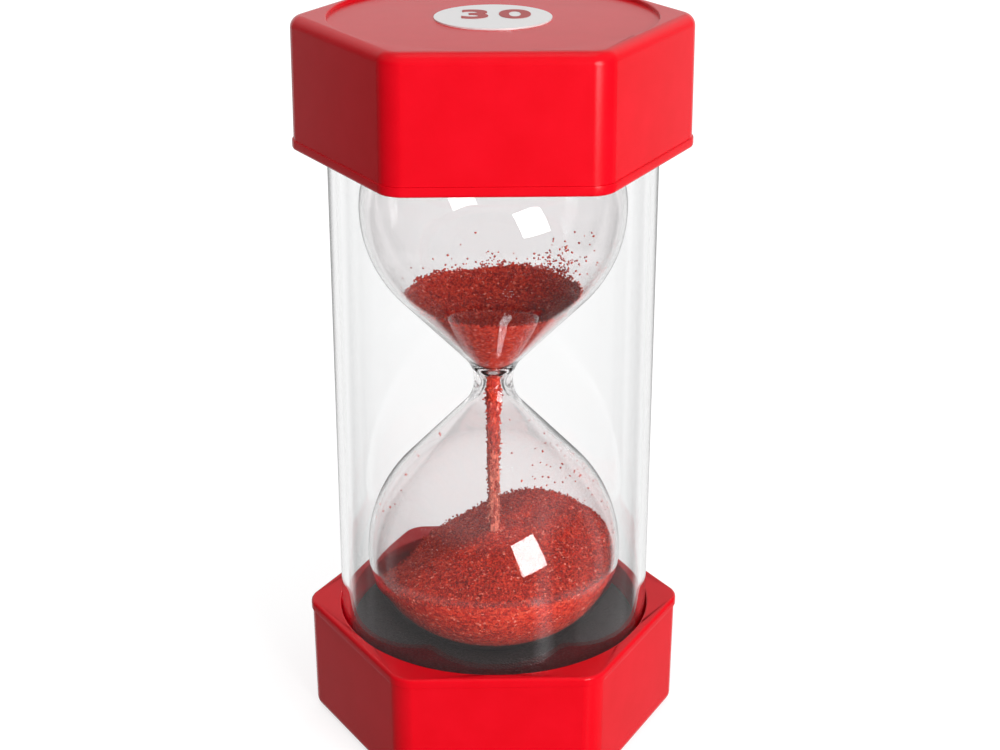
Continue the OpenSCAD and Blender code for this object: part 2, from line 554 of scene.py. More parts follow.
@dataclass(frozen=True)
class CoatedPaper:
    """Coated label paper, or the ink printed on it."""

    name: str
    pale: Colour
    deep: Colour
    coat: float = 1.0
    coat_gloss: float = 0.2
    gloss: float = 0.45
    ior: float = 1.45
    fibre: float = 0.35 * MM
    fibre_range: tuple[float, float] = (0.3, 0.7)
    fibre_depth: float = 0.004 * MM
    fibre_strength: float = 0.5

    def build(self) -> bpy.types.Material:
        """Makes the material."""
        s = Shader.material(self.name)
        fibre = s.noise(self.fibre, Detail=4.0)
        return s.surface(s.principled(
            Base_Color=s.ramp(fibre, list(zip(self.fibre_range, (self.deep, self.pale)))),
            Roughness=self.gloss,
            IOR=self.ior,
            Coat_Weight=self.coat,
            Coat_Roughness=self.coat_gloss,
            Normal=s.bump(fibre, self.fibre_depth, self.fibre_strength),
        ))


@dataclass(frozen=True)
class MattRubber:
    """Plain black stopper rubber with a dusty bloom."""

    name: str = "stopper_rubber"
    dark: Colour = (0.015, 0.015, 0.016, 1)
    bloom: Colour = (0.05, 0.05, 0.05, 1)
    dust: float = 1.5 * MM
    dust_range: tuple[float, float] = (0.4, 0.8)
    gloss: float = 0.7

    def build(self) -> bpy.types.Material:
        """Makes the material."""
        s = Shader.material(self.name)
        dust = s.noise(self.dust, Detail=5.0)
        tones = list(zip(self.dust_range, (self.dark, self.bloom)))
        return s.surface(s.principled(Base_Color=s.ramp(dust, tones), Roughness=self.gloss))


@dataclass
class SixSidedEnd:
    """One end of the timer: the moulded cap and the collar that closes it round the tube."""

    red: bpy.types.Material
    height: float
    wall: float = 1.95 * MM
    draft: float = 0.4 * MM
    corner_r: float = 5.6 * MM
    edge_r: float = 2.4 * MM
    floor_z: float = 3.0 * MM
    recess_depth: float = 0.8 * MM
    recess_r: float = 34.2 * MM
    lip_r: float = 0.25 * MM
    collar_edge_r: float = 0.7 * MM
    collar_seam_r: float = 0.25 * MM
    hole_r: float = 35.3 * MM
    hole_edge_r: float = 0.4 * MM
    circle_slack: float = 0.05 * MM
    round_steps: int = 8
    collar_steps: int = 4
    seam_steps: int = 2
    lip_steps: int = 3
    circle_steps: int = 108

    def block(self, name: str, low: float, high: float, across: float) -> bpy.types.Object:
        """Adds a six-sided block, left in edit mode.

        Args:
            name: the new piece's name.
            low: the height of its underside.
            high: the height of its top.
            across: its width across the flats.

        Returns:
            The block.
        """
        Bench.clear()
        half_turn = math.pi / SIDES
        bpy.ops.mesh.primitive_cylinder_add(
            vertices=SIDES,
            radius=across / 2 / math.cos(half_turn),
            depth=high - low,
            location=(0, 0, (low + high) / 2),
            rotation=(0, 0, half_turn),
        )
        piece = Bench.named(name)
        Bench.place(piece)
        Bench.edit()
        return piece

    def round_corners(self, piece: bpy.types.Object) -> None:
        """Rounds the six upright corners of a block."""
        Bench.pick(piece, Pick.EDGE, lambda e: abs(e.verts[0].co.z - e.verts[1].co.z) > MM)
        cut = self.corner_r * math.tan(math.pi / SIDES)
        bpy.ops.mesh.bevel(offset=cut, segments=self.round_steps, affect="EDGES")

    @staticmethod
    def round_loop(piece: bpy.types.Object, test: Callable, radius: float, steps: int) -> None:
        """Rounds the edges that a test picks."""
        Bench.pick(piece, Pick.EDGE, test)
        bpy.ops.mesh.bevel(offset=radius, segments=steps, affect="EDGES", clamp_overlap=False)

    @staticmethod
    def is_open(edge: bmesh.types.BMEdge) -> bool:
        """True if an edge borders a gap in the mesh."""
        return len(edge.link_faces) < 2

    @staticmethod
    def is_level(edge: bmesh.types.BMEdge, z: float) -> bool:
        """True if an edge lies at one height."""
        return all(abs(v.co.z - z) < TOUCH for v in edge.verts)

    def on_circle(self, edge: bmesh.types.BMEdge, z: float, radius: float) -> bool:
        """True if an edge lies on a circle at one height."""
        off = [abs(v.co.xy.length - radius) for v in edge.verts]
        return self.is_level(edge, z) and max(off) < self.circle_slack

    def open_round(self, piece: bpy.types.Object, z: float, radius: float, up: int) -> None:
        """Opens a round hole in the flat face at one height.

        Args:
            piece: the block, in edit mode.
            z: the face's height.
            radius: the hole's radius.
            up: 1 if the face looks up, -1 if it looks down.
        """
        def level(face: bmesh.types.BMFace) -> bool:
            """True for the flat face."""
            return face.normal.z * up > FLAT and abs(face.calc_center_median().z - z) < TOUCH

        Bench.pick(piece, Pick.FACE, level)
        bpy.ops.mesh.delete(type="ONLY_FACE")
        bpy.ops.mesh.primitive_circle_add(
            vertices=self.circle_steps, radius=radius, location=(0, 0, z)
        )
        Bench.pick(piece, Pick.EDGE, lambda e: self.is_open(e) and self.is_level(e, z))
        bpy.ops.mesh.bridge_edge_loops()

    def sink(self, piece: bpy.types.Object, depth: float) -> None:
        """Draws a wall from the open edges, up by a depth or down if it is negative."""
        Bench.pick(piece, Pick.EDGE, self.is_open)
        bpy.ops.mesh.extrude_edges_move(TRANSFORM_OT_translate={"value": (0, 0, depth)})

    def cap(self, name: str, top: float, across: float) -> bpy.types.Object:
        """Models a cap that stands on its closed end.

        Args:
            name: the cap's name.
            top: the height of its open rim.
            across: its width across the flats at the rim.

        Returns:
            The cap.
        """
        piece = self.block(name, 0, top, across)
        Bench.pick(piece, Pick.VERT, lambda v: v.co.z < MM)
        shrink = 1 - self.draft / across
        bpy.ops.transform.resize(value=(shrink, shrink, 1), center_override=(0, 0, 0))
        self.round_corners(piece)
        Bench.pick(piece, Pick.FACE, lambda f: f.normal.z > FLAT)
        bpy.ops.mesh.inset(thickness=self.wall, use_even_offset=True)
        hollow = {"value": (0, 0, self.floor_z - top)}
        bpy.ops.mesh.extrude_region_move(TRANSFORM_OT_translate=hollow)
        self.round_loop(piece, lambda e: self.is_level(e, 0), self.edge_r, self.round_steps)
        self.open_round(piece, 0, self.recess_r, -1)
        self.sink(piece, self.recess_depth)
        bpy.ops.mesh.edge_face_add()
        lip = self.recess_r
        self.round_loop(piece, lambda e: self.on_circle(e, 0, lip), self.lip_r, self.lip_steps)
        return self.close(piece)

    def collar(self, name: str, low: float, high: float, across: float) -> bpy.types.Object:
        """Models the collar plate on a cap's rim.

        Args:
            name: the collar's name.
            low: the height of its underside.
            high: the height of its outer face.
            across: its width across the flats.

        Returns:
            The collar.
        """
        piece = self.block(name, low, high, across)
        self.round_corners(piece)
        edge, seam = self.collar_edge_r, self.collar_seam_r
        self.round_loop(piece, lambda e: self.is_level(e, high), edge, self.collar_steps)
        self.round_loop(piece, lambda e: self.is_level(e, low), seam, self.seam_steps)
        self.open_round(piece, high, self.hole_r, 1)
        self.sink(piece, low - high)
        Bench.pick(piece, Pick.FACE, lambda f: f.normal.z < -FLAT)
        bpy.ops.mesh.delete(type="ONLY_FACE")
        Bench.pick(piece, Pick.EDGE, self.is_open)
        bpy.ops.mesh.fill(use_beauty=True)
        hole = self.hole_r
        self.round_loop(
            piece, lambda e: self.on_circle(e, high, hole), self.hole_edge_r, self.lip_steps
        )
        return self.close(piece)

    @staticmethod
    def close(piece: bpy.types.Object) -> bpy.types.Object:
        """Turns all faces outwards, leaves edit mode and shades the piece."""
        Bench.outward()
        Bench.smooth(piece, weigh=True)
        return piece

    def build(self, end: End) -> None:
        """Models and dresses the cap and the collar of one end."""
        cap_low, cap_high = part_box("lower_cap")
        _, collar_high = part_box("lower_collar")
        rim, across = cap_high.z, cap_high.y - cap_low.y
        plate = f"{end.value}_collar_plate"
        pieces = {
            "cap": self.cap(f"{end.value}_cap_shell", rim, across),
            "collar": self.collar(plate, rim, collar_high.z, 2 * collar_high.y),
        }
        for part, piece in pieces.items():
            if end is End.UPPER:
                Bench.turn_over(piece, self.height)
            Bench.finish(piece, Slot.CAP, self.red, f"{end.value}_{part}")


@dataclass
class BlownGlass:
    """The outline of the hourglass, drawn as arcs that run into each other."""

    middle: float
    bulb_r: float
    neck_r: float = 4.3 * MM
    bore_r: float = 1.75 * MM
    equator: float = 40.5 * MM
    waist_arc: float = 8.3 * MM
    slope: float = math.radians(43.5)
    side_arc: float = 20 * MM
    side_turn: float = math.radians(50)
    wall: float = 0.8 * MM
    fill_hole_r: float = 3.5 * MM
    fill_rim: tuple[float, float] = (0.12 * MM, 0.88 * MM)
    crease: float = math.radians(50)
    steps: int = 160
    arc_steps: int = 14
    waist_r: float = field(init=False)
    waist_d: float = field(init=False)
    gain: float = field(init=False)
    shoulder_arc: float = field(init=False)
    end_arc: float = field(init=False)
    end: float = field(init=False)

    def __post_init__(self) -> None:
        """Works out the arcs that the others leave."""
        self.waist_r = self.neck_r + self.waist_arc * (1 - math.cos(self.slope))
        self.waist_d = self.waist_arc * math.sin(self.slope)
        self.gain = 1 / math.cos(self.slope) - 1
        rise = (self.equator - self.waist_d) * math.tan(self.slope)
        self.shoulder_arc = (self.waist_r - self.bulb_r + rise) / self.gain
        turned = self.bulb_r - self.side_arc * (1 - math.cos(self.side_turn))
        self.end_arc = turned / math.cos(self.side_turn)
        side = self.side_arc * math.sin(self.side_turn)
        self.end = self.equator + side + self.end_arc * (1 - math.sin(self.side_turn))

    def arc(self, centre: tuple[float, float], radius: float, start: float, stop: float) -> Outline:
        """Points of an arc, as (radius, distance from the neck)."""
        turns = [start + (stop - start) * i / self.arc_steps for i in range(self.arc_steps + 1)]
        r, d = centre
        return [(r + radius * math.cos(a), d + radius * math.sin(a)) for a in turns]

    def half(self, inset: float, neck_r: float) -> Outline:
        """One half of a layer of the glass.

        Args:
            inset: how far the layer lies under the outside.
            neck_r: the layer's radius at the neck.

        Returns:
            Points from the neck to the end of the bulb, as (radius, distance from the neck).
        """
        under = inset / math.cos(self.slope) + self.waist_d * math.tan(self.slope)
        waist = (neck_r - self.waist_r + under) / self.gain
        shoulder = (self.bulb_r - self.shoulder_arc, self.equator)
        side = (self.bulb_r - self.side_arc, self.equator)
        tip = (0, self.end - self.end_arc)
        parts = (
            self.arc((neck_r + waist, 0), waist, math.pi, math.pi - self.slope),
            self.arc(shoulder, self.shoulder_arc - inset, -self.slope, 0),
            self.arc(side, self.side_arc - inset, 0, self.side_turn)[1:],
            self.arc(tip, self.end_arc - inset, self.side_turn, math.pi / 2)[1:],
        )
        return [point for part in parts for point in part]

    def layer(self, inset: float, neck_r: float) -> Outline:
        """A whole layer from the lower end to the upper end, as (radius, height)."""
        half = self.half(inset, neck_r)
        lower = [(r, self.middle - d) for r, d in reversed(half[1:])]
        return lower + [(r, self.middle + d) for r, d in half]

    def inside_r(self, z: np.ndarray, gap: float) -> np.ndarray:
        """The radius of the space inside the glass.

        Args:
            z: heights, in metres.
            gap: how far the space keeps from the glass.

        Returns:
            The radius at each height.
        """
        half = self.half(self.wall + gap, self.bore_r - gap)
        distance = np.abs(np.asarray(z) - self.middle)
        return np.interp(distance, [d for _, d in half], [r for r, _ in half])

    def build(self, material: bpy.types.Material) -> None:
        """Turns the glass wall, open at its filling hole."""
        high = self.middle + self.equator
        outer, inner = (
            [p for p in self.layer(inset, neck_r) if p[1] < high or p[0] > self.fill_hole_r]
            for inset, neck_r in ((0, self.neck_r), (self.wall, self.bore_r))
        )
        rim = [(self.fill_hole_r, self.middle + self.end - depth) for depth in self.fill_rim]
        piece = Bench.lathe("blown_hourglass", outer + rim + inner[::-1], self.steps)
        Bench.smooth(piece, self.crease)
        Bench.finish(piece, Slot.GLASS, material, "hourglass")


@dataclass
class ClearTube:
    """The clear outer tube."""

    wall: float = 1.6 * MM
    edge: float = 0.2 * MM
    steps: int = 192

    def build(self, material: bpy.types.Material) -> None:
        """Turns the tube's wall, with its cut edges broken."""
        low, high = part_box("outer_tube")
        outer, inner, cut = high.x, high.x - self.wall, self.edge
        outline = [
            (outer, low.z + cut), (outer, high.z - cut),
            (outer - cut, high.z), (inner + cut, high.z),
            (inner, high.z - cut), (inner, low.z + cut),
            (inner + cut, low.z), (outer - cut, low.z),
            (outer, low.z + cut),
        ]
        piece = Bench.lathe("clear_tube", outline, self.steps)
        Bench.smooth(piece)
        Bench.finish(piece, Slot.TUBE, material, "outer_tube")


@dataclass
class FoamPad:
    """A foam block in one end of the tube, pressed to the shape of the glass."""

    glass: BlownGlass
    height: float
    seat_gap: float = 0.2 * MM
    edge_r: float = 0.7 * MM
    edge_steps: int = 4
    sag: float = 0.35 * MM
    steps: int = 120

    def build(self, end: End, material: bpy.types.Material) -> None:
        low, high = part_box(f"{end.value}_pad")
        middle = self.glass.middle
        if end is End.UPPER:
            low.z, high.z = self.height - high.z, self.height - low.z
            middle = self.height - middle
        half = self.glass.half(-self.seat_gap, self.glass.neck_r + self.seat_gap)
        seat = [
            (r, middle - d) for r, d in half
            if r < high.x - 2 * self.edge_r and middle - d < high.z - self.sag
        ][-2 * self.glass.arc_steps:]
        mouth = (seat[0][0] + 2 * self.sag, high.z)
        side, top = high.x - self.edge_r, high.z - self.edge_r
        turns = [math.pi / 2 * i / self.edge_steps for i in range(self.edge_steps + 1)]
        shoulder = [
            (side + self.edge_r * math.cos(a), top + self.edge_r * math.sin(a)) for a in turns
        ]
        outline = [(0, low.z), (high.x, low.z)] + shoulder + [mouth] + seat
        piece = Bench.lathe(f"{end.value}_foam_pad", outline, self.steps)
        if end is End.UPPER:
            Bench.turn_over(piece, self.height)
        Bench.smooth(piece)
        Bench.finish(piece, Slot.FOAM, material, f"{end.value}_pad")


@dataclass(frozen=True)
class Wave:
    """A wave round the edge of a sand surface."""

    height: float
    count: int
    shift: float = 0.0

    def at(self, angle: np.ndarray) -> np.ndarray:
        """Its rise at each angle."""
        return self.height * np.sin(angle * self.count + self.shift)


@dataclass(frozen=True)
class Cling:
    """A patch of grains that cling to the inside of the glass.

    Its angle and spread are degrees round the axis, and its heights start at the neck.
    """

    count: int
    angle: float
    spread: float
    low: float
    high: float
    fade: float


@dataclass
class SandFill:
    """All the sand: the funnel, the stream, the heap and the loose grains on the glass."""

    glass: BlownGlass
    material: bpy.types.Material
    falling: bpy.types.Material
    gap: float = 0.1 * MM
    steps: int = 180
    rim_rings: int = 40
    wall_rings: int = 30
    wall_ease: float = 1.6
    ruffles: tuple[tuple[float, float], ...] = ((4 * MM, 0.35 * MM), (1.1 * MM, 0.22 * MM))
    calm_edge: float = 0.98
    crease: float = math.radians(60)
    funnel_low: float = 1.0 * MM
    funnel_rim: float = 19.9 * MM
    funnel_waves: tuple[Wave, Wave] = (Wave(0.35 * MM, 2, 0.6), Wave(0.25 * MM, 5, 2.0))
    crater: float = 9.3 * MM
    crater_round: float = 0.1
    heap_top: float = 37.8 * MM
    heap_rim: float = 43.4 * MM
    heap_wave: Wave = Wave(0.25 * MM, 7)
    heap_bank: tuple[float, ...] = (
        1.8, 3.3, 4.4, 4.5, 4.4, 3.3, 0.5, -3.2, -5.0, -6.3, -8.7, -8.0,
        -5.8, -3.8, -1.8, -0.2, 0.5, 1.0, 1.3, 1.3, 1.2, 1.0, 1.0, 1.2,
    )
    bank_blur: float = 7.0
    heap_fall: tuple[float, float] = (1.7, 0.5)
    heap_drop: float = 12 * MM
    mound: float = 0.7 * MM
    mound_share: float = 0.12
    stream_bore_r: float = 1.5 * MM
    stream_r: tuple[float, float] = (1.02 * MM, 1.28 * MM)
    stream_neck: float = 5.0 * MM
    stream_taper: float = 4 * MM
    stream_loosen: float = 6 * MM
    stream_sink: float = 0.8 * MM
    stream_stretch: float = 0.45
    stream_ruffles: tuple[tuple[float, float], ...] = ((1.5 * MM, 0.3), (0.6 * MM, 0.2))
    stream_rings: int = 120
    stream_sides: int = 28
    stray: float = 0.26 * MM
    stray_sunk: float = 0.1 * MM
    grain_r: float = 0.25 * MM
    grain_form: tuple[float, float, float] = (1.15, 0.95, 0.85)
    grain_chip: float = 0.22
    grain_lift: float = 0.35
    cling_off: float = 0.7
    rim_off: float = 0.8
    stream_off: float = 1.3
    least_up: float = 0.2
    rim_reach: float = 0.02 * MM
    rim_overlap: float = 0.02
    rim_stray: float = 0.3 * MM
    rim_levels: tuple[float, float] = (15 * MM, -60 * MM)
    funnel_grains: int = 5000
    heap_grains: int = 9500
    rim_grains: tuple[int, int] = (420, 520)
    stream_grains: int = 1700
    clings: tuple[Cling, ...] = (
        Cling(90, 78, 30, 20 * MM, 44 * MM, 1 * MM),
        Cling(170, 42, 13, 20 * MM, 36 * MM, 2 * MM),
        Cling(60, 32, 30, -38 * MM, -9 * MM, 16 * MM),
        Cling(12, 150, 30, -38 * MM, -12 * MM, 9 * MM),
    )
    bed_sizes: tuple[float, float] = (0.7, 1.3)
    rim_sizes: tuple[float, float] = (0.7, 1.25)
    stream_sizes: tuple[float, float] = (0.6, 1.1)
    cling_sizes: tuple[float, float] = (0.6, 1.25)
    seed: int = 7

    def __post_init__(self) -> None:
        """Starts the one random sequence that all the grains are drawn from."""
        self.rng = np.random.default_rng(self.seed)

    @staticmethod
    def ruffle(points: np.ndarray, layers: tuple[tuple[float, float], ...]) -> np.ndarray:
        """Smooth bumps over a surface.

        Args:
            points: places, in metres.
            layers: how far apart the bumps of each layer are, and how high.

        Returns:
            The rise at each place.
        """
        return sum(
            np.array([noise.noise(Vector(p) / size) for p in points]) * depth
            for size, depth in layers
        )

    @staticmethod
    def around(r: np.ndarray, angle: np.ndarray, z: np.ndarray) -> np.ndarray:
        """Places from radii, angles and heights."""
        return np.column_stack((r * np.cos(angle), r * np.sin(angle), z))

    def turned_fill(self, name: str, low: float, high: float) -> bpy.types.Object:
        """A flat-topped fill of the glass between two heights."""
        rise = np.linspace(0, 1, self.wall_rings + 1) ** self.wall_ease
        heights = low + (high - low) * rise
        radii = self.glass.inside_r(heights, self.gap)
        wall = [(float(r), float(z)) for r, z in zip(radii, heights)]
        shares = np.linspace(1, 0, self.rim_rings + 1)[1:]
        top = [(float(radii[-1] * share), high) for share in shares]
        start = [] if wall[0][0] < TOUCH else [(0.0, low)]
        return Bench.lathe(name, start + wall + top, self.steps)

    def reshape(
        self, piece: bpy.types.Object, low: float, high: float, rim: Callable, top: Callable
    ) -> None:
        """Moves a flat-topped fill to its real surface.

        Args:
            piece: the fill.
            low: the height of its lowest point.
            high: the height of its flat top.
            rim: gives the height at the glass for each angle.
            top: gives the height of the surface from the share of the rim's radius and the
                rim's height.
        """
        co = np.array([v.co for v in piece.data.vertices])
        radius = np.hypot(co[:, 0], co[:, 1])
        angle = np.arctan2(co[:, 1], co[:, 0])
        edge = rim(angle)
        flat_r = float(self.glass.inside_r(np.array([high]), self.gap)[0])
        on_top = co[:, 2] > high - TOUCH
        share = np.clip(radius / flat_r, 0, 1)
        z = low + (co[:, 2] - low) * (edge - low) / (high - low)
        r = np.where(radius < TOUCH, 0, self.glass.inside_r(z, self.gap))
        z = np.where(on_top, top(share, edge), z)
        r = np.where(on_top, share * self.glass.inside_r(edge, self.gap), r)
        moved = self.around(r, angle, z)
        bumps = self.ruffle(moved, self.ruffles)
        moved[:, 2] += np.where(on_top & (share < self.calm_edge), bumps, 0)
        self.move(piece, moved)

    @staticmethod
    def move(piece: bpy.types.Object, places: np.ndarray) -> None:
        """Moves the points of a mesh to new places."""
        piece.data.vertices.foreach_set("co", places.ravel())
        piece.data.update()

    def funnel(self) -> bpy.types.Object:
        """The sand left in the upper bulb, with the crater that it runs out of."""
        mid = self.glass.middle
        low, high = mid + self.funnel_low, mid + self.funnel_rim
        piece = self.turned_fill("funnel_of_sand", low, high)

        def rim(angle: np.ndarray) -> np.ndarray:
            """The height at the glass."""
            return high + sum(wave.at(angle) for wave in self.funnel_waves)

        def rounded(share: np.ndarray) -> np.ndarray:
            """A cone with a rounded tip."""
            return np.sqrt(share**2 + self.crater_round**2) - self.crater_round

        def top(share: np.ndarray, edge: np.ndarray) -> np.ndarray:
            """The crater."""
            bottom = mid + self.crater
            return bottom + (edge - bottom) * rounded(share) / rounded(1.0)

        self.reshape(piece, low, high, rim, top)
        return piece

    def heap(self) -> bpy.types.Object:
        """The heap in the lower bulb, banked up at the right and the back."""
        mid = self.glass.middle
        low = mid - self.glass.end + self.glass.wall + self.gap
        high = mid - self.heap_rim
        piece = self.turned_fill("heap_of_sand", low, high)

        degrees = np.arange(360)
        turns = np.radians(degrees.astype(float))
        known = np.linspace(0, math.tau, len(self.heap_bank), endpoint=False)
        bank = np.interp(turns, known, self.heap_bank, period=math.tau) * MM
        soft = np.exp(-0.5 * ((degrees - 180) / self.bank_blur) ** 2)
        blur = np.fft.fft(np.fft.ifftshift(soft / soft.sum()))
        bank = np.real(np.fft.ifft(np.fft.fft(bank) * blur))

        def rim(angle: np.ndarray) -> np.ndarray:
            """The height at the glass."""
            banked = np.interp(angle, turns, bank, period=math.tau)
            return high + banked + self.heap_wave.at(angle)

        def top(share: np.ndarray, edge: np.ndarray) -> np.ndarray:
            """The slopes, with a small mound where the stream lands."""
            peak = mid - self.heap_top
            steep = np.clip((peak - edge) / self.heap_drop, 0, 1)
            gentle, less = self.heap_fall
            landed = self.mound * np.exp(-((share / self.mound_share) ** 2))
            return peak + (edge - peak) * share ** (gentle - less * steep) + landed

        self.reshape(piece, low, high, rim, top)
        return piece

    def column(self) -> bpy.types.Object:
        """The core of the falling stream."""
        mid = self.glass.middle
        neck = mid - self.stream_neck
        low, high = mid - self.heap_top - self.stream_sink, mid + self.funnel_low
        heights = np.linspace(low, high, self.stream_rings)
        stops = [low, neck - self.stream_taper, neck, high]
        bore = self.stream_bore_r
        radii = np.interp(heights, stops, [*self.stream_r, bore, bore])
        side = [(float(r), float(z)) for r, z in zip(radii, heights)]
        core = [(0.0, float(low))] + side + [(0.0, float(high))]
        piece = Bench.lathe("stream_of_sand", core, self.stream_sides)
        co = np.array([v.co for v in piece.data.vertices])
        free = np.clip((neck - co[:, 2]) / self.stream_loosen, 0, 1)
        push = 1 + free * self.ruffle(co * (1, 1, self.stream_stretch), self.stream_ruffles)
        co[:, :2] *= push[:, None]
        self.move(piece, co)
        return piece

    def grain_shape(self) -> tuple[np.ndarray, np.ndarray]:
        """One chipped grain, modelled once.

        Returns:
            Its points about its middle, and its triangles.
        """
        Bench.clear()
        bpy.ops.mesh.primitive_ico_sphere_add(subdivisions=1, radius=1)
        piece = Bench.named("grain")
        Bench.edit()
        bpy.ops.transform.resize(value=self.grain_form)
        bpy.ops.transform.vertex_random(offset=self.grain_chip, seed=self.seed)
        bpy.ops.object.mode_set(mode="OBJECT")
        points = np.array([v.co for v in piece.data.vertices])
        faces = np.array([p.vertices for p in piece.data.polygons])
        bpy.data.objects.remove(piece)
        return points, faces

    def scatter(
        self,
        name: str,
        grain: tuple[np.ndarray, np.ndarray],
        places: np.ndarray,
        scale: tuple[float, float],
    ) -> bpy.types.Object:
        """Copies the grain to many places, each copy turned and sized by itself.

        Args:
            name: the new piece's name.
            grain: the points and the triangles of one grain.
            places: the middles of the grains.
            scale: the least and greatest size, beside a common grain.

        Returns:
            The grains as one piece.
        """
        points, faces = grain
        count = len(places)
        turn = self.rng.normal(size=(count, 4))
        turn /= np.linalg.norm(turn, axis=1)[:, None]
        w, x, y, z = turn.T
        matrix = np.array([
            [1 - 2 * (y * y + z * z), 2 * (x * y - z * w), 2 * (x * z + y * w)],
            [2 * (x * y + z * w), 1 - 2 * (x * x + z * z), 2 * (y * z - x * w)],
            [2 * (x * z - y * w), 2 * (y * z + x * w), 1 - 2 * (x * x + y * y)],
        ]).transpose(2, 0, 1)
        size = self.grain_r * self.rng.uniform(*scale, size=count)
        turned = np.einsum("nij,pj->npi", matrix, points)
        verts = turned * size[:, None, None] + places[:, None, :]
        index = faces[None] + (np.arange(count) * len(points))[:, None, None]
        mesh = bpy.data.meshes.new(name)
        mesh.from_pydata(verts.reshape(-1, 3).tolist(), [], index.reshape(-1, 3).tolist())
        piece = bpy.data.objects.new(name, mesh)
        bpy.context.scene.collection.objects.link(piece)
        return piece

    def surface_places(self, piece: bpy.types.Object, count: int) -> np.ndarray:
        """Random places on the faces of a piece that look up.

        Args:
            piece: the sand that carries the grains.
            count: how many places are wanted.

        Returns:
            The places, just above the surface.
        """
        points = [tuple(v.co) for v in piece.data.vertices]

        def corners(face: bpy.types.MeshPolygon) -> list[tuple[float, float, float]]:
            """A face's corners in order of place, because a mesh's own order varies by run."""
            return sorted(points[i] for i in face.vertices)

        faces = [p for p in piece.data.polygons if p.normal.z > self.least_up]
        faces.sort(key=corners)
        area = np.array([p.area for p in faces])
        chosen = self.rng.choice(len(faces), size=count, p=area / area.sum())
        places = []
        for face in (faces[i] for i in chosen):
            spots = np.array(corners(face))
            share = self.rng.dirichlet(np.ones(len(spots)))
            lift = np.array(face.normal) * self.grain_r * self.grain_lift
            places.append(share @ spots + lift)
        return np.array(places)

    def on_glass(self, patch: Cling) -> np.ndarray:
        """Places of the grains of one patch on the glass, which thin out upwards."""
        angle = np.radians(self.rng.normal(patch.angle, patch.spread, size=patch.count))
        rise = self.rng.exponential(patch.fade, size=patch.count)
        z = self.glass.middle + patch.low + np.mod(rise, patch.high - patch.low)
        return self.around(self.glass.inside_r(z, self.grain_r * self.cling_off), angle, z)

    def rim_places(self, piece: bpy.types.Object, count: int, level: float) -> np.ndarray:
        """Places of the grains that stick up along the edge of a sand surface.

        Args:
            piece: the sand.
            count: how many there are.
            level: a height that only its surface lies above.

        Returns:
            The places, against the glass.
        """
        co = np.array([v.co for v in piece.data.vertices])
        co = co[co[:, 2] > level]
        wall = self.glass.inside_r(co[:, 2], self.gap)
        rim = co[np.hypot(co[:, 0], co[:, 1]) > wall - self.rim_reach]
        turn = np.arctan2(rim[:, 1], rim[:, 0])
        edges = np.linspace(-math.pi, math.pi, self.steps + 1)
        more = self.rim_overlap
        top = np.array([
            rim[(turn >= a - more) & (turn <= b + more), 2].max(initial=level)
            for a, b in zip(edges, edges[1:])
        ])
        angle = self.rng.uniform(-math.pi, math.pi, size=count)
        above = np.abs(self.rng.normal(0, self.rim_stray, size=count))
        z = np.interp(angle, (edges[:-1] + edges[1:]) / 2, top) + above
        return self.around(self.glass.inside_r(z, self.grain_r * self.rim_off), angle, z)

    def stream_places(self, count: int) -> np.ndarray:
        """Places of the loose grains round the falling stream."""
        low = self.glass.middle - self.heap_top
        neck = self.glass.middle - self.stream_neck
        z = self.rng.uniform(low, self.glass.middle, size=count)
        stops = [low, neck - self.stream_taper, neck]
        core = np.interp(z, stops, [*self.stream_r, self.stream_bore_r])
        r = core + np.abs(self.rng.normal(0, self.stray, size=count)) - self.stray_sunk
        r = np.minimum(r, self.glass.inside_r(z, self.grain_r * self.stream_off))
        angle = self.rng.uniform(0, math.tau, size=count)
        return self.around(r, angle, z)

    def build(self) -> None:
        """Models all the sand and dresses it."""
        funnel, heap, column = self.funnel(), self.heap(), self.column()
        loose = {
            "funnel_grains": (self.surface_places(funnel, self.funnel_grains), self.bed_sizes),
            "heap_grains": (self.surface_places(heap, self.heap_grains), self.bed_sizes),
        }
        rims = zip((funnel, heap), self.rim_grains, self.rim_levels)
        along = [self.rim_places(*rim, self.glass.middle + level) for *rim, level in rims]
        loose["rim_grains"] = (np.vstack(along), self.rim_sizes)
        loose["stream_grains"] = (self.stream_places(self.stream_grains), self.stream_sizes)
        patches = [self.on_glass(patch) for patch in self.clings]
        loose["clinging_grains"] = (np.vstack(patches), self.cling_sizes)
        for piece, node in ((funnel, "upper_sand"), (heap, "lower_sand"), (column, "sand_stream")):
            Bench.smooth(piece, self.crease)
            material = self.falling if piece is column else self.material
            Bench.finish(piece, Slot.SAND, material, node)
        grain = self.grain_shape()
        for name, (places, scale) in loose.items():
            material = self.falling if name == "stream_grains" else self.material
            Bench.finish(self.scatter(name, grain, places, scale), Slot.SAND, material)


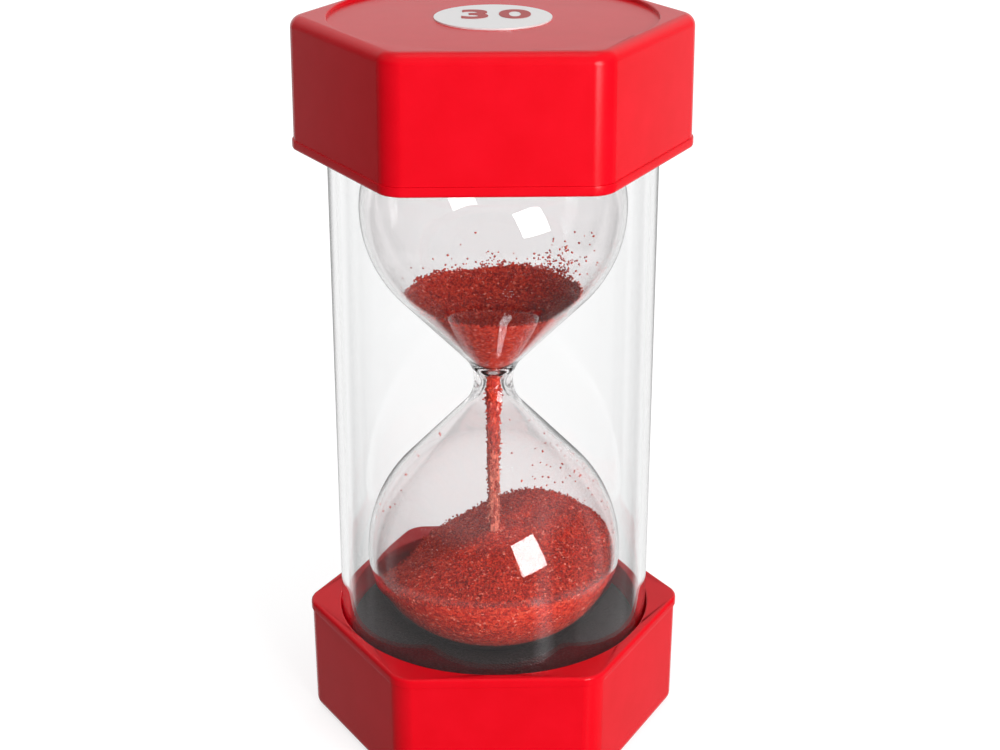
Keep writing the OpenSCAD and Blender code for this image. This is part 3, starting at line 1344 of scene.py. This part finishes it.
@dataclass
class RoundLabel:
    """The round label in the upper recess, with a plain number printed on it."""

    number: str = "30"
    number_h: float = 8.6 * MM
    letter_share: float = 1.38
    raised: float = 1.7 * MM
    right: float = 0.45 * MM
    widen: float = 1.12
    spacing: float = 1.24
    bold: float = 0.35 * MM
    ink_t: float = 0.04 * MM

    def build(self, paper: bpy.types.Material, ink: bpy.types.Material) -> None:
        """Dresses the label's solid and prints the number on it."""
        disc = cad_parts["label"]
        Bench.paint(disc, paper)
        _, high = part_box("label")
        Bench.clear()
        bpy.ops.object.text_add(location=(self.right, self.raised, high.z + self.ink_t))
        text = bpy.context.object
        text.data.body = self.number
        text.data.align_x = "CENTER"
        text.data.align_y = "CENTER"
        text.data.size = self.number_h * self.letter_share
        text.data.offset = self.bold
        text.data.space_character = self.spacing
        text.data.extrude = self.ink_t
        bpy.ops.object.convert(target="MESH")
        piece = Bench.named("printed_number")
        Bench.edit()
        Bench.outward()
        piece.scale.x = self.widen
        Bench.place(piece)
        Bench.finish(piece, Slot.LABEL, ink)


@dataclass(frozen=True)
class MirroredRoom:
    """How bright the room is in the object's reflections, by direction.

    Each field gives levels at places along one part of the direction. The wall behind is bright
    but for two gaps straight behind, which draw thin outlines on the clear pieces. The ceiling,
    a low ring, boards at the sides and a low strip at the right are lit, and the front is dark.
    """

    wall: Levels = ((0.55, 0.07), (0.62, 0.95))
    gap_behind: Levels = ((0.85, 0.0), (0.91, 1.0))
    gap_tilt: Levels = ((0.375, 0.57), (0.45, 0.0), (0.55, 0.0), (0.65, 0.32))
    ring_down: Levels = ((0.44, 0.0), (0.50, 0.3), (0.56, 0.3), (0.64, 0.0))
    ceiling_up: Levels = ((0.2, 0.0), (0.6, 0.55))
    boards_behind: Levels = ((0.02, 0.0), (0.2, 0.3), (0.32, 0.3), (0.38, 0.0))
    boards_down: Levels = ((0.56, 1.0), (0.7, 0.0))
    strip_right: Levels = (
        (0.36, 0.0), (0.5, 1.0), (0.54, 1.0), (0.66, 0.0), (0.7, 0.0), (0.8, 0.5)
    )
    strip_down: Levels = ((0.42, 0.0), (0.5, 1.0), (0.58, 1.0), (0.66, 0.0))
    second: tuple[float, float] = (0.45, 0.95)
    second_behind: tuple[float, float] = (0.0, 0.4)

    def build(self, s: Shader) -> Socket:
        """Works out the level, with a plainer room for what is mirrored twice."""
        way = s.add("ShaderNodeSeparateXYZ", Vector=s.direction())
        right, behind, up = (way.outputs[axis] for axis in "XYZ")
        down = s.math("MULTIPLY", up, -1.0)
        tilt = s.spread(up, 0.0, 1.0, -1.0, 1.0)

        def crossed(first: Socket, second: Socket) -> Socket:
            """What lies in both of two bands."""
            return s.math("MULTIPLY", first, second)

        gaps = crossed(s.levels(behind, self.gap_behind), s.levels(tilt, self.gap_tilt))
        level = s.math("SUBTRACT", s.levels(behind, self.wall), gaps, clamp=True)
        lit = (
            s.levels(down, self.ring_down),
            s.levels(up, self.ceiling_up),
            crossed(s.levels(behind, self.boards_behind), s.levels(down, self.boards_down)),
            crossed(s.levels(right, self.strip_right), s.levels(down, self.strip_down)),
        )
        for part in lit:
            level = s.math("MAXIMUM", level, part)
        again = s.math("SUBTRACT", s.rays("Glossy Depth"), 1.0, clamp=True)
        return s.mix(again, level, s.spread(behind, *self.second, *self.second_behind))


@dataclass
class Studio:
    """Floor, world, softbox and camera."""

    eye: Vector = field(default_factory=lambda: Vector((-8.34, -389.23, 242.48)) * MM)
    aim: Vector = field(default_factory=lambda: Vector((1.44, 0.0, 83.09)) * MM)
    focal_px: float = 1901.87
    sensor: float = 36.0
    clip_start: float = 0.01
    floor_size: float = 6.0
    floor_tone: Colour = (0.4, 0.4, 0.4, 1)
    # Floor glow near the object and far out: the dimmer glow near it is a painted shade round its
    # foot.
    floor_glow_shaded_near: tuple[float, float] = (0.74, 0.9)
    painted_shade_reach: float = 0.5
    backdrop: float = 1.12
    fill: tuple[float, float] = (0.09, 0.64)
    fill_lean: tuple[float, float, float] = (0.35, 0.1, 1.0)
    fill_range: tuple[float, float] = (-0.4, 0.8)
    box_azimuth: float = math.radians(31)
    box_elevation: float = math.radians(9)
    box_roll: float = math.radians(15)
    box_distance: float = 0.75
    box_size: tuple[float, float] = (0.32, 0.42)
    box_watts: float = 6.6
    box_aim: Vector = field(default_factory=lambda: Vector((7.0, -27.0, 90.0)) * MM)
    top_size: float = 0.5
    top_height: float = 0.9
    top_watts: float = 0.8

    def camera(self) -> None:
        """Sets the camera at the place that the object is seen from."""
        data = bpy.data.cameras.new("camera")
        data.sensor_width = self.sensor
        data.lens = self.focal_px * self.sensor / IMAGE_WIDTH_PX
        data.clip_start = self.clip_start
        eye = bpy.data.objects.new("camera", data)
        eye.location = self.eye
        eye.rotation_euler = (self.aim - self.eye).to_track_quat("-Z", "Y").to_euler()
        bpy.context.scene.collection.objects.link(eye)
        bpy.context.scene.camera = eye

    @staticmethod
    def seen_rays(s: Shader) -> Socket:
        """1 for the rays that show the background: to the camera, mirrored, or through glass."""
        return s.rays("Is Camera Ray", "Is Glossy Ray", "Is Transmission Ray")

    def floor(self) -> None:
        """Lays a pale floor that shows white, takes a shadow and is left out of mirrors; its glow
        is dimmer near the object, a painted shade round the object's foot.
        """
        Bench.clear()
        bpy.ops.mesh.primitive_plane_add(size=self.floor_size)
        piece = Bench.named("floor")
        s = Shader.material("pale_floor")
        paint = s.add("ShaderNodeBsdfDiffuse", Color=self.floor_tone)
        # The glow grows with distance from the object, so the floor is darker round its foot:
        # painted shade.
        far = s.add("ShaderNodeVectorMath", operation="LENGTH", Vector=s.coordinates())
        share = s.math("DIVIDE", far.outputs["Value"], self.painted_shade_reach, clamp=True)
        glow = s.add("ShaderNodeEmission", Strength=s.spread(share, *self.floor_glow_shaded_near))
        dark = s.add("ShaderNodeEmission", Strength=0.0)
        both = s.add("ShaderNodeAddShader")
        s.join(paint.outputs["BSDF"], both.inputs[0])
        emitted = s.either(self.seen_rays(s), dark.outputs["Emission"], glow.outputs["Emission"])
        s.join(emitted, both.inputs[1])
        bare = s.add("ShaderNodeBsdfTransparent").outputs["BSDF"]
        material = s.surface(s.either(s.rays("Glossy Depth"), both.outputs["Shader"], bare))
        piece.data.materials.append(material)

    def sky(self, s: Shader) -> Socket:
        """The light of the room on the object: most from above, the right and behind."""
        lean = s.add("ShaderNodeVectorMath", operation="DOT_PRODUCT", Vector=s.direction())
        s.join(self.fill_lean, lean.inputs[1])
        return s.spread(lean.outputs["Value"], *self.fill, *self.fill_range)

    def world(self) -> None:
        """Sets a world that is white where it is seen, and dimmer as light and in mirrors."""
        world = bpy.data.worlds.new("studio")
        bpy.context.scene.world = world
        s = Shader(world, "ShaderNodeOutputWorld")
        shown = s.mix(s.rays("Glossy Depth"), self.backdrop, MirroredRoom().build(s))
        level = s.mix(self.seen_rays(s), self.sky(s), shown)
        light = s.add("ShaderNodeBackground", Color=(1, 1, 1, 1), Strength=level)
        s.surface(light.outputs["Background"])

    @staticmethod
    def lamp(name: str, watts: float, size: tuple[float, float]) -> bpy.types.Object:
        """Adds an area lamp, which looks down until it is turned."""
        data = bpy.data.lights.new(name, "AREA")
        data.shape = "RECTANGLE"
        data.size, data.size_y = size
        data.energy = watts
        lamp = bpy.data.objects.new(name, data)
        bpy.context.scene.collection.objects.link(lamp)
        return lamp

    def softbox(self) -> None:
        """Hangs one softbox in front, to the right."""
        lamp = self.lamp("softbox", self.box_watts, self.box_size)
        away = Matrix.Rotation(self.box_azimuth, 4, "Z")
        level = math.cos(self.box_elevation)
        out = away @ Vector((0, -level, math.sin(self.box_elevation)))
        lamp.location = self.box_aim + out * self.box_distance
        turn = (-out).to_track_quat("-Z", "Y").to_matrix().to_4x4()
        lamp.rotation_euler = (turn @ Matrix.Rotation(self.box_roll, 4, "Z")).to_euler()

    def overhead(self) -> None:
        """Hangs a weak square light over the object."""
        lamp = self.lamp("overhead", self.top_watts, (self.top_size, self.top_size))
        lamp.location.z = self.top_height

    def build(self) -> None:
        """Sets up the whole studio."""
        bpy.context.scene.view_settings.view_transform = "Standard"
        self.camera()
        self.floor()
        self.world()
        self.softbox()
        self.overhead()


def main() -> None:
    """Builds every piece in order, then the studio."""
    logging.basicConfig(level=logging.INFO, format="%(name)s %(message)s")
    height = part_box("upper_cap")[1].z
    glass_low, glass_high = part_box("hourglass")
    glass = BlownGlass(middle=0.0, bulb_r=glass_high.x)
    glass.middle = glass_low.z + glass.end
    red = MouldedPlastic().build()
    for end in End:
        SixSidedEnd(red, height).build(end)
    clear = ClearWall(
        "clear_tube_plastic", tint=(0.995, 0.997, 0.998, 1), ior=1.49,
        ripple=60 * MM, ripple_depth=0.01 * MM,
    )
    blown = ClearWall(
        "blown_glass", tint=(0.997, 0.979, 0.981, 1), ior=1.52,
        ripple=14 * MM, ripple_depth=0.03 * MM, coat=0.4,
    )
    ClearTube().build(clear.build())
    glass.build(blown.build())
    foam = BlackFoam().build()
    for end in End:
        FoamPad(glass, height).build(end, foam)
    resting = DrySand("resting_sand")
    pale_from, pale_over = glass.middle - 9 * MM, 14 * MM
    falling = DrySand(
        "falling_sand", streak=0.3, relief=0.12 * MM, paling=(pale_from, pale_from - pale_over)
    )
    SandFill(glass, resting.build(), falling.build()).build()
    paper = CoatedPaper("label_paper", pale=(0.92, 0.90, 0.90, 1), deep=(0.88, 0.86, 0.86, 1))
    ink = CoatedPaper(
        "label_ink", pale=(0.52, 0.05, 0.05, 1), deep=(0.44, 0.035, 0.035, 1), coat=0.0
    )
    RoundLabel().build(paper.build(), ink.build())
    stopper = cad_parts["fill_stopper"]
    Bench.paint(stopper, MattRubber().build())
    Studio().build()


if __name__ == "__main__":
    main()
